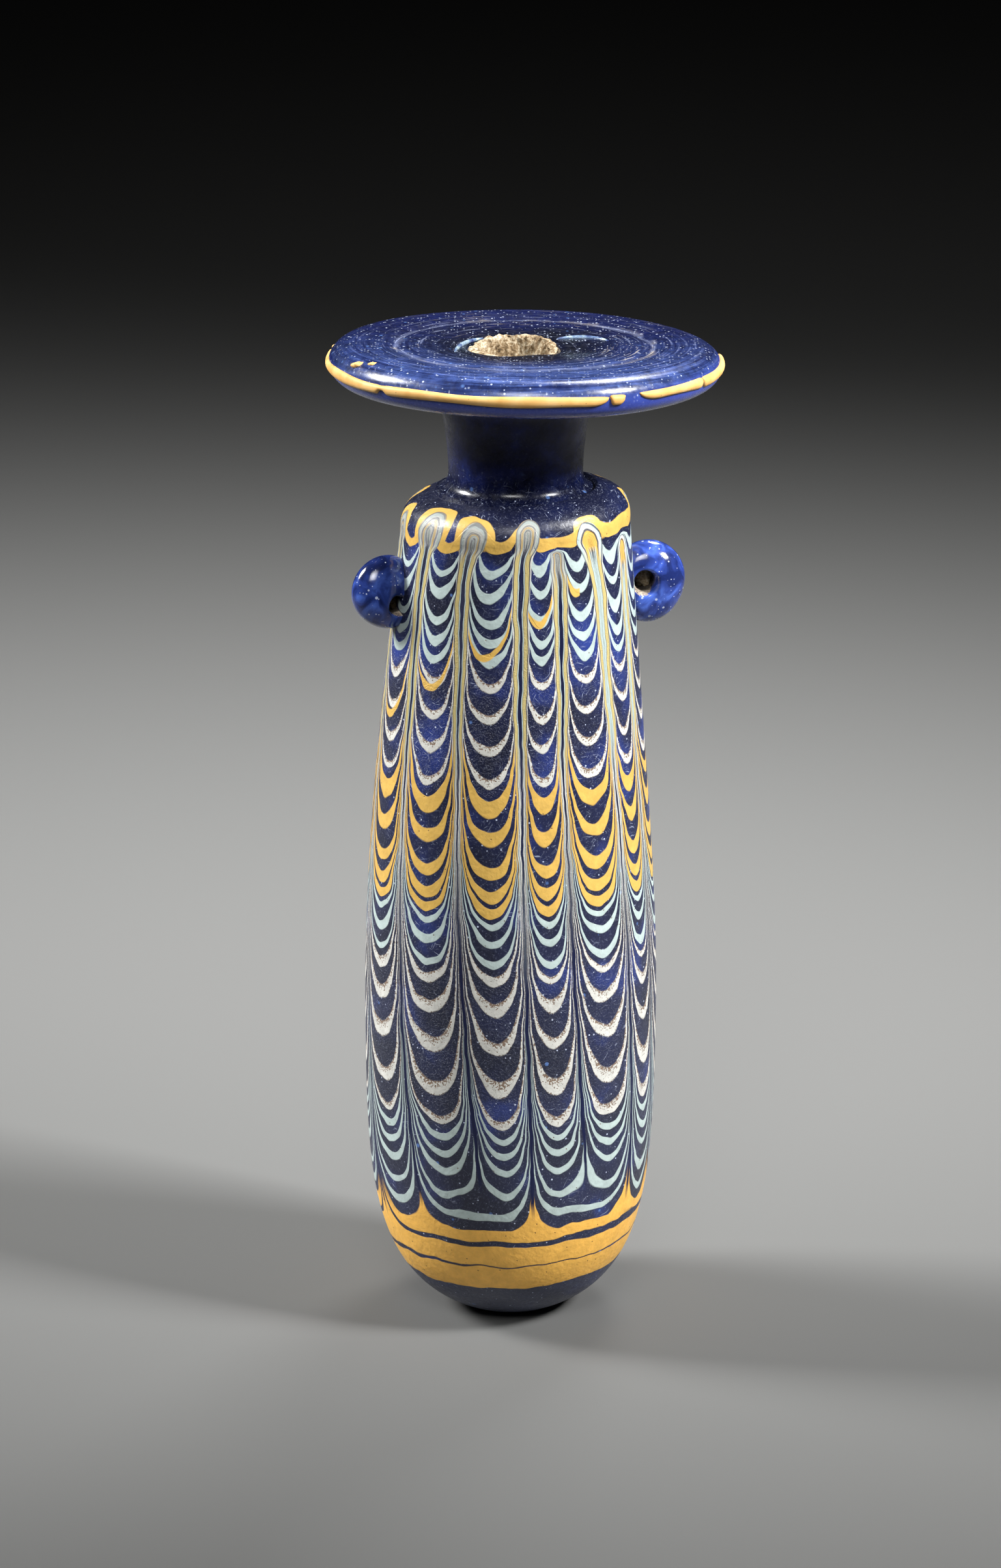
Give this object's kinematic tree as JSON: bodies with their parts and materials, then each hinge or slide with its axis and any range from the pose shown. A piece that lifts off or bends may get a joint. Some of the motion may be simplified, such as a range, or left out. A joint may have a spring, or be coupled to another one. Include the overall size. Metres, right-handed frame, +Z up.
{
  "type": "glass alabastron",
  "caption": "Tall hollow core-formed glass perfume flask with a rounded bottom, feather-combed trails, a short neck, a broad disk rim and pierced lugs.",
  "frame": {"origin": "middle of the small flat spot under the rounded bottom, on the surface the flask stands on", "axes": "+Z up along the flask, -Y towards the front as pictured, +X to the right; the lugs lie near -X and +X"},
  "size_m": [0.0522, 0.0522, 0.1317],
  "materials": {
    "cobalt_glass": "satin, weathered, with marvered trails",
    "yellow_glass": "satin opaque trail"
  },
  "bodies": {
    "root": {"alabastron": "cobalt_glass"}
  },
  "joints": []
}
